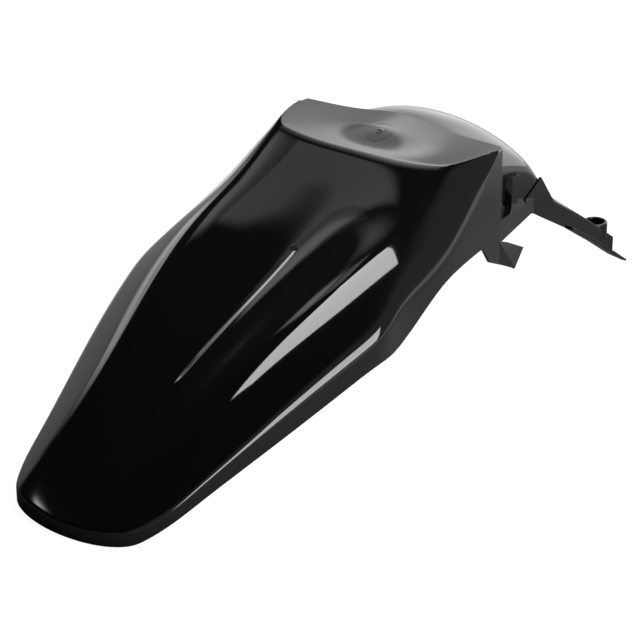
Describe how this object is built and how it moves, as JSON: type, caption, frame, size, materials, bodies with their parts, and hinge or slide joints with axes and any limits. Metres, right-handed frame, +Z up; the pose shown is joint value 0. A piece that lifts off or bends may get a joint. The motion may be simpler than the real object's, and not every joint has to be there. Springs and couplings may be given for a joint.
{
  "type": "motorcycle rear fender",
  "caption": "One-piece moulded rear fender for an off-road motorcycle: long dished tail with flared, lipped sides, seat ledge, domed front channel and bolt ears.",
  "frame": {"origin": "Middle of the bounding box on the floor that the fender rests on, on the mirror plane.", "axes": "+Y points to the bike's front, from the tail to the bolt ears, along the longest extent. +Z is up. +X is the bike's right side."},
  "size_m": [0.248, 0.706, 0.2074],
  "materials": {
    "black_plastic": "gloss"
  },
  "bodies": {
    "root": {"rear_fender": "black_plastic"}
  },
  "joints": []
}
